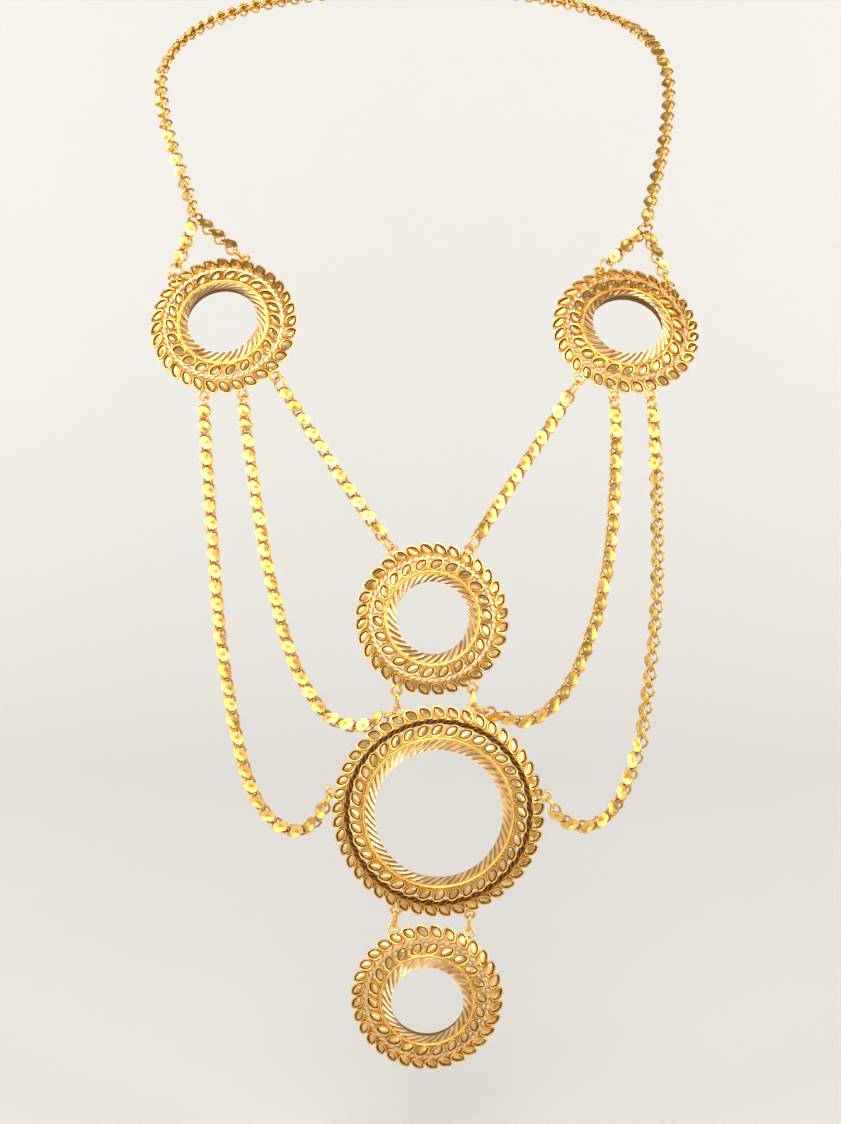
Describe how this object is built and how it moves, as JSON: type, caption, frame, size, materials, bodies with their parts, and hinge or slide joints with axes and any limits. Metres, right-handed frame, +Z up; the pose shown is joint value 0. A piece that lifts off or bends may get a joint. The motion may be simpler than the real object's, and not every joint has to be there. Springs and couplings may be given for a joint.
{
  "type": "coin frame necklace",
  "caption": "Bib necklace of round open coin frames with laurel leaf borders, joined by V and swag chains of platelet links, with a neck chain and a barrel clasp.",
  "frame": {"origin": "the nape, on the inner side of the clasp, at the middle of the necklace", "axes": "+X to the right in the picture, -Y to the front, away from the chest, +Z up"},
  "size_m": [0.1689, 0.1721, 0.3236],
  "materials": {
    "gold_frame": "yellow gold, polished lens cuts and flutes between matt beaded rims",
    "gold_chain": "bright polished yellow gold wire and platelets",
    "gold_plain": "plain polished yellow gold"
  },
  "bodies": {
    "necklace": {"coin_frame_upper_left": "gold_frame", "coin_frame_upper_right": "gold_frame", "coin_frame_centre": "gold_frame", "coin_frame_large": "gold_frame", "neck_chain_left": "gold_chain", "neck_chain_right": "gold_chain", "clasp": "gold_plain", "apex_ring_left": "gold_plain", "apex_ring_right": "gold_plain", "bail_left_outer": "gold_chain", "bail_left_inner": "gold_chain", "bail_right_inner": "gold_chain", "bail_right_outer": "gold_chain", "v_chain_left": "gold_chain", "v_chain_right": "gold_chain", "inner_swag_left": "gold_chain", "inner_swag_right": "gold_chain", "outer_swag_left": "gold_chain", "outer_swag_right": "gold_chain", "link_centre_left": "gold_plain", "link_centre_right": "gold_plain"},
    "drop": {"coin_frame_drop": "gold_frame", "link_drop_left": "gold_plain", "link_drop_right": "gold_plain"}
  },
  "joints": [
    {"name": "drop_swing", "type": "hinge", "parent": "necklace", "child": "drop", "pos_m": [0.00246, -0.16404, -0.27453], "axis": [0.9986, -0.0066, -0.0521], "range_deg": [-90, 90]}
  ]
}
